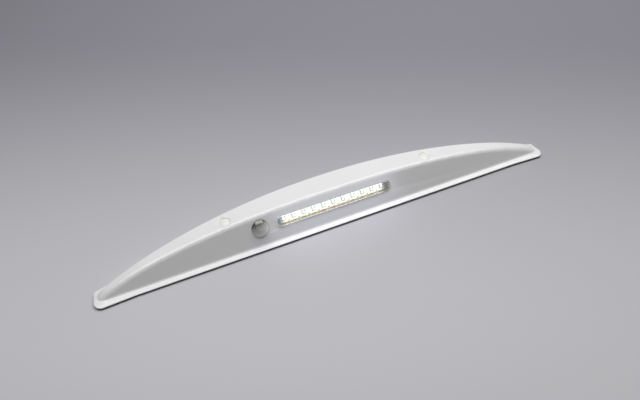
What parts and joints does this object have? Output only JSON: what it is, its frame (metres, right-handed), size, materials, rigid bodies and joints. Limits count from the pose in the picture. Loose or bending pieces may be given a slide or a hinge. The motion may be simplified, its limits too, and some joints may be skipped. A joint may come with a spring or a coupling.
{
  "type": "awning light",
  "caption": "Long bow-shaped white lamp for above a caravan door, with a leaning front face, a lit window bar, a motion-sensor dome and capped fixing holes.",
  "frame": {"origin": "on the wall plane, midway between the two fixing holes", "axes": "+X along the lamp, +Y from its lower edge to its arched upper edge, +Z away from the wall"},
  "size_m": [0.7042, 0.0736, 0.0442],
  "materials": {
    "white_moulding": "moulded, fine satin",
    "black_foam": "closed-cell foam",
    "cap_plastic": "moulded, satin",
    "clear_window": "clear, polished",
    "seal_rubber": "moulded silicone",
    "bright_reflector": "bright metallised",
    "white_board": "white solder mask",
    "led_package": "moulded",
    "led_phosphor": "silicone fill",
    "black_component": "moulded",
    "carrier_plastic": "moulded",
    "screw_steel": "zinc plated",
    "milky_dome": "milky moulded polyethylene",
    "green_board": "green solder mask",
    "can_steel": "nickel plated",
    "dark_filter": "polished silicon",
    "tan_component": "fired ceramic",
    "green_terminal": "moulded",
    "red_wire": "extruded",
    "black_wire": "extruded"
  },
  "bodies": {
    "root": {"housing": "white_moulding", "wall_gasket": "black_foam", "screw_cap_left": "cap_plastic", "screw_cap_right": "cap_plastic", "light_window": "clear_window", "window_seal": "seal_rubber", "led_reflector": "bright_reflector", "led_board": "white_board", "led_bodies": "led_package", "led_phosphors": "led_phosphor", "led_resistors": "black_component", "lamp_carrier": "carrier_plastic", "carrier_screws": "screw_steel", "pir_lens": "milky_dome", "pir_seal": "seal_rubber", "pir_spacer": "carrier_plastic", "pir_board": "green_board", "pir_sensor": "can_steel", "pir_filter": "dark_filter", "pir_chip": "black_component", "pir_transistor": "black_component", "pir_capacitors": "tan_component", "terminal_block": "green_terminal", "terminal_screws": "screw_steel", "lead_positive": "red_wire", "lead_negative": "black_wire"}
  },
  "joints": []
}
